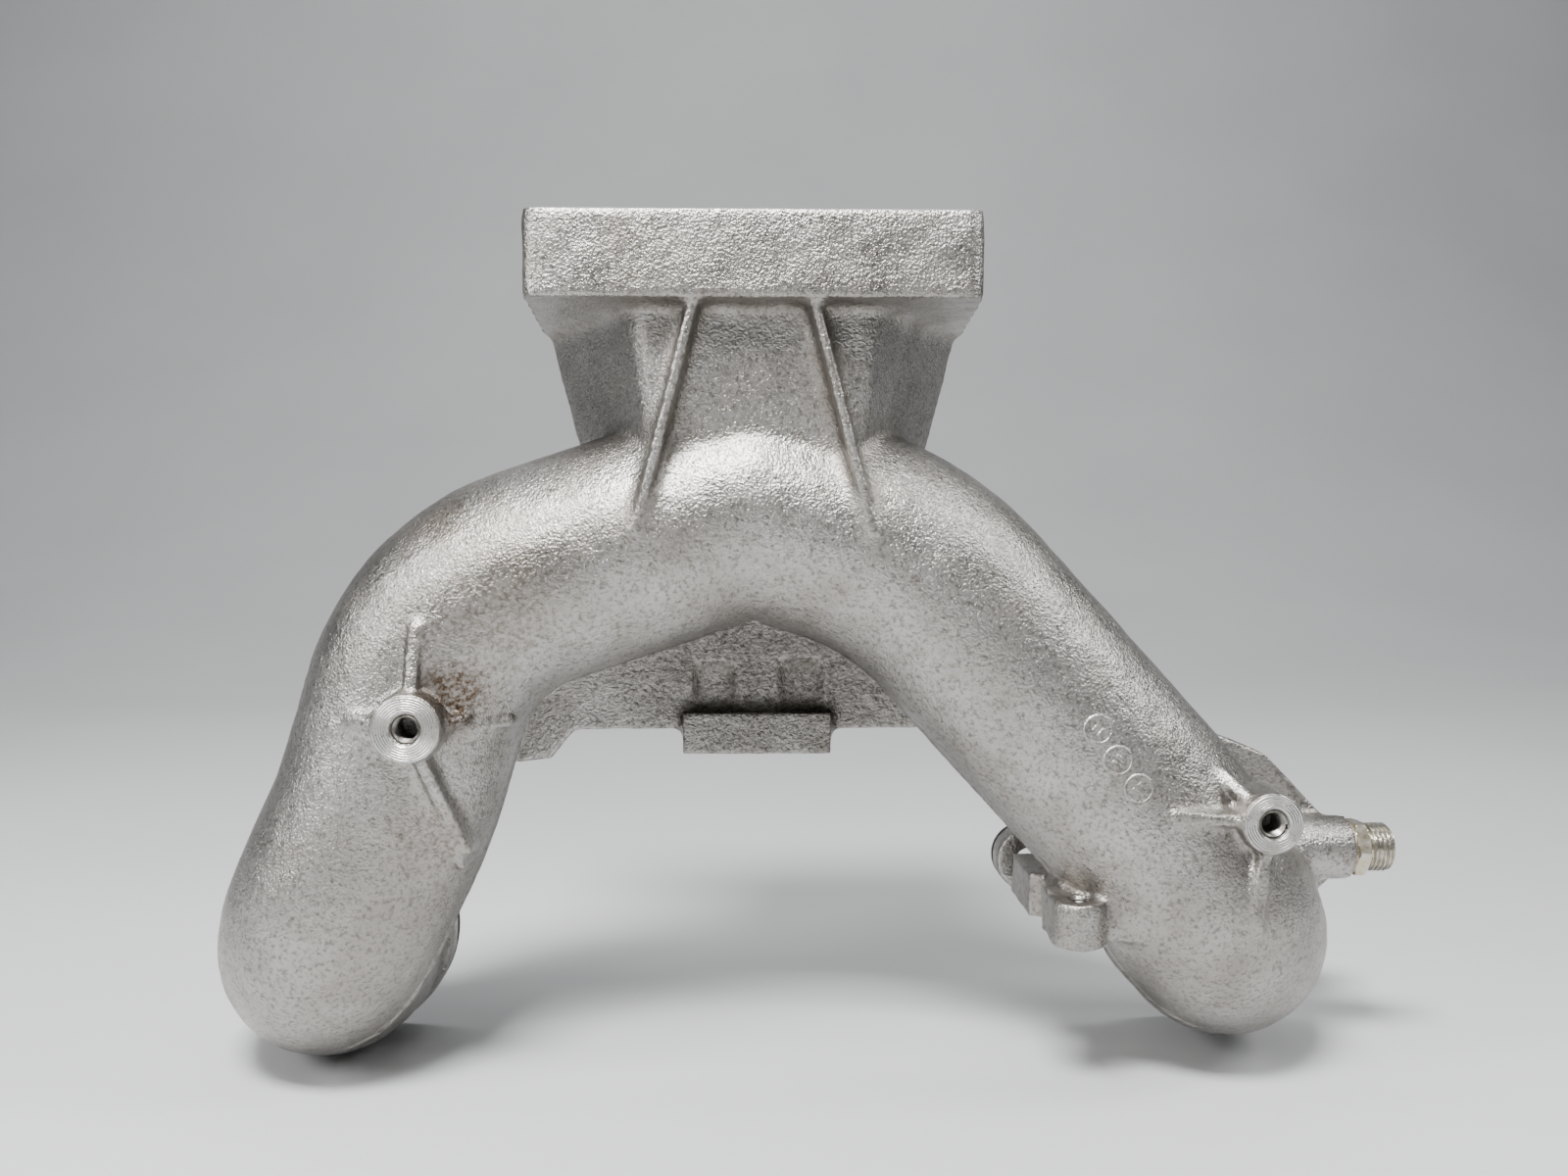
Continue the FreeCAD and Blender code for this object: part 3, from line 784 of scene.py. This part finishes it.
def add_bar(vertices, faces, centre, along, across, half_long, half_wide):
    """Flat topped bar with sloping sides, for a stroke of a mould mark."""
    first = len(vertices)
    for height, grow in ((0.0, 0.35 * MM), (STROKE_HEIGHT, 0.0)):
        for a, b in ((-1, -1), (1, -1), (1, 1), (-1, 1)):
            spot = centre + along * a * (half_long + grow) + across * b * (half_wide + grow)
            vertices.append((spot.x, spot.y, height))
    faces.append(tuple(first + i for i in (3, 2, 1, 0)))
    faces.append(tuple(first + i for i in (4, 5, 6, 7)))
    for i in range(4):
        k = (i + 1) % 4
        faces.append((first + i, first + k, first + 4 + k, first + 4 + i))


def mould_mark(name, hit, normal, turn):
    """Raised round mark left by a mould insert: a rim round a flat floor with two strokes."""
    radius = MARK_RADIUS

    def section(angle):
        return [(0.05 * MM, -MARK_ROOT), (0.05 * MM, MARK_FLOOR_HEIGHT),
                (radius - 0.9 * MM, MARK_FLOOR_HEIGHT), (radius - 0.7 * MM, MARK_RIM_HEIGHT),
                (radius - 0.4 * MM, MARK_RIM_HEIGHT), (radius, 0.05 * MM),
                (radius + 0.25 * MM, -MARK_ROOT)]

    plate = ring_solid(name, section, hit, normal, 72)
    sharpen(plate, 20.0)
    vertices = []
    faces = []
    along = Vector((math.cos(turn), math.sin(turn), 0.0))
    across = Vector((-along.y, along.x, 0.0))
    for shift in (-1.1 * MM, 1.1 * MM):
        add_bar(vertices, faces, across * shift, along, across, 1.2 * MM, 0.30 * MM)
    strokes = new_object(name + "_strokes", place_on_axis(vertices, hit, normal), faces, False)
    make_outward(strokes)
    return plate, strokes


def gasket_grommet(name, outlet):
    """Folded metal rim round a gasket's bore."""
    face = Vector((outlet.x, OUTLET_FACE, outlet.z))
    bore = OUTLET_RADIUS
    low, high = GASKET_THICKNESS - 0.1 * MM, GASKET_THICKNESS + 0.12 * MM

    def section(angle):
        return [(bore, 0.2 * MM), (bore + 0.2 * MM, 0.0), (bore + 2.2 * MM, 0.0),
                (bore + 2.5 * MM, 0.35 * MM), (bore + 2.5 * MM, low), (bore + 2.1 * MM, high),
                (bore + 0.3 * MM, high), (bore, low)]

    piece = ring_solid(name, section, face, (0, 1, 0), 144)
    sharpen(piece, 50.0)
    return piece


# ---------------------------------------------------------------- assembly

def ready(piece, slot, *nodes):
    """Put a piece on the body, and hide the CAD nodes that it replaces. The slot is not used."""
    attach(piece, "root")
    if nodes:
        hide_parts(*nodes)


def dress(node, material):
    """New material for a CAD node that is kept as it is."""
    piece = bpy.data.objects[node]
    for i in range(len(piece.data.materials)):
        piece.data.materials[i] = material


def add_mould_marks(casting):
    """Lay the marks on the casting, turned partly towards the front so that they read as flat."""
    tree = BVHTree.FromObject(casting, bpy.context.evaluated_depsgraph_get())
    material = casting.data.materials[0]
    for i, ((x, z), turn) in enumerate(zip(MARK_PLACES, MARK_TURNS)):
        hit, normal, _, _ = tree.ray_cast(Vector((x, -0.2, z)), Vector((0, 1, 0)))
        lean = (normal + Vector((0, -2.0, 0))).normalized()
        for piece in mould_mark("mould_mark_%d" % (i + 1), hit, lean, turn):
            ready(give(piece, material), "cast_aluminium")


def add_bosses():
    for name, place, radius in (("left", LEFT_BOSS, LEFT_BOSS_RADIUS),
                                ("right", RIGHT_BOSS, RIGHT_BOSS_RADIUS)):
        face = boss_face(name + "_boss_face", place, radius)
        marks = machined(name + "_boss_turned", tuple(place), 1, 0.75 * MM)
        ready(give(face, marks), "cast_aluminium")
        coil = wire_insert(name + "_boss_coil", [place], (0, -1, 0), INSERT_RADIUS, M8_PITCH,
                           BOSS_COIL_LENGTH)
        ready(give(coil, INSERT), "insert_steel", name + "_boss_insert")


def add_inserts():
    pattern = MOUNTS["inlet_bolts"]["dims"]
    half_x = pattern["spacing_x_mm"] * MM / 2.0
    half_y = pattern["spacing_y_mm"] * MM / 2.0
    places = [Vector((a * half_x, b * half_y, 0.0)) for a in (-1, 1) for b in (-1, 1)]
    coils = wire_insert("inlet_coils", places, (0, 0, 1), INSERT_RADIUS, M8_PITCH,
                        INLET_COIL_LENGTH)
    ready(give(coils, INSERT), "insert_steel", "inlet_flange_inserts")
    coil = wire_insert("bracket_coil", [LUG_TOP], (0, 0, 1), BRACKET_COIL_RADIUS, M6_PITCH,
                       LUG_HEIGHT - 1.5 * MM)
    ready(give(coil, INSERT), "insert_steel", "bracket_insert")


def add_union():
    axis = (1, 0, 0)
    nose_end = UNION.x + THREAD_LENGTH / 2.0
    nose_place = Vector((nose_end - THREAD_LENGTH, UNION.y, UNION.z))
    hexagon_place = nose_place - Vector((HEX_LENGTH, 0, 0))
    ring_place = hexagon_place - Vector((RING_THICKNESS, 0, 0))
    hexagon = union_hexagon(hexagon_place, axis)
    nose = union_nose(nose_place, axis)
    spigot = union_spigot(hexagon_place, axis)
    sharpen(hexagon, 25.0)
    sharpen(nose, 40.0)
    for piece, material in ((hexagon, ZINC), (nose, BRIGHT), (spigot, ZINC)):
        ready(give(piece, material), "zinc_steel", "pipe_union")
    ready(give(sealing_ring(ring_place, axis), seal_metal()), "seal_copper", "union_sealing_ring")


def add_gaskets():
    rubber = gasket_rubber()
    rim = machined("gasket_rim", tuple(LEFT_OUTLET), 1, 0.9 * MM, (0.42, 0.41, 0.39))
    for name, outlet in (("left", LEFT_OUTLET), ("right", RIGHT_OUTLET)):
        dress(name + "_outlet_gasket", rubber)
        ready(give(gasket_grommet(name + "_gasket_rim", outlet), rim), "gasket")


INSERT = insert_steel()
ZINC = zinc_steel()
BRIGHT = bright_thread()

casting = give(build_casting(), cast_aluminium())
ready(casting, "cast_aluminium", "manifold_casting")
add_mould_marks(casting)
add_bosses()
add_inserts()
add_union()
add_gaskets()

# ---------------------------------------------------------------- floor, light and camera

def area_light(name, place, aim, size, power):
    data = bpy.data.lights.new(name, "AREA")
    data.shape = "RECTANGLE"
    data.size, data.size_y = size
    data.energy = power
    lamp = bpy.data.objects.new(name, data)
    lamp.location = place
    lamp.rotation_euler = (Vector(aim) - Vector(place)).to_track_quat("-Z", "Y").to_euler()
    bpy.context.scene.collection.objects.link(lamp)


def backdrop():
    """Floor that curves up into a plain wall behind the object."""
    low = cad_box[0][2]
    profile = [(FLOOR_FRONT, low), (BEND_START, low)]
    for i in range(1, BEND_STEPS + 1):
        angle = math.pi / 2.0 * i / BEND_STEPS
        profile.append((BEND_START + BEND_RADIUS * math.sin(angle),
                        low + BEND_RADIUS * (1.0 - math.cos(angle))))
    profile.append((BEND_START + BEND_RADIUS, low + BEND_RADIUS + WALL_HEIGHT))
    vertices = [(x, y, z) for y, z in profile for x in (-FLOOR_HALF, FLOOR_HALF)]
    faces = [(2 * i, 2 * i + 1, 2 * i + 3, 2 * i + 2) for i in range(len(profile) - 1)]
    return new_object("floor", vertices, faces)


def set_stage():
    floor = backdrop()
    give(floor, floor_paint())
    world = bpy.data.worlds.new("studio")
    world.use_nodes = True
    background = world.node_tree.nodes["Background"]
    background.inputs["Color"].default_value = WORLD_COLOUR
    background.inputs["Strength"].default_value = WORLD_STRENGTH
    bpy.context.scene.world = world
    for light in LIGHTS:
        area_light(*light)


def set_camera():
    data = bpy.data.cameras.new("camera")
    data.lens = CAMERA_LENS_MM
    data.sensor_width = CAMERA_SENSOR_MM
    camera = bpy.data.objects.new("camera", data)
    forward = Vector(CAMERA_FORWARD).normalized()
    right = forward.cross(Vector((0.0, 0.0, 1.0))).normalized()
    up = right.cross(forward)
    turn = Matrix((right, up, -forward)).transposed().to_4x4()
    camera.matrix_world = Matrix.Translation(CAMERA_PLACE) @ turn
    bpy.context.scene.collection.objects.link(camera)
    bpy.context.scene.camera = camera


set_stage()
set_camera()
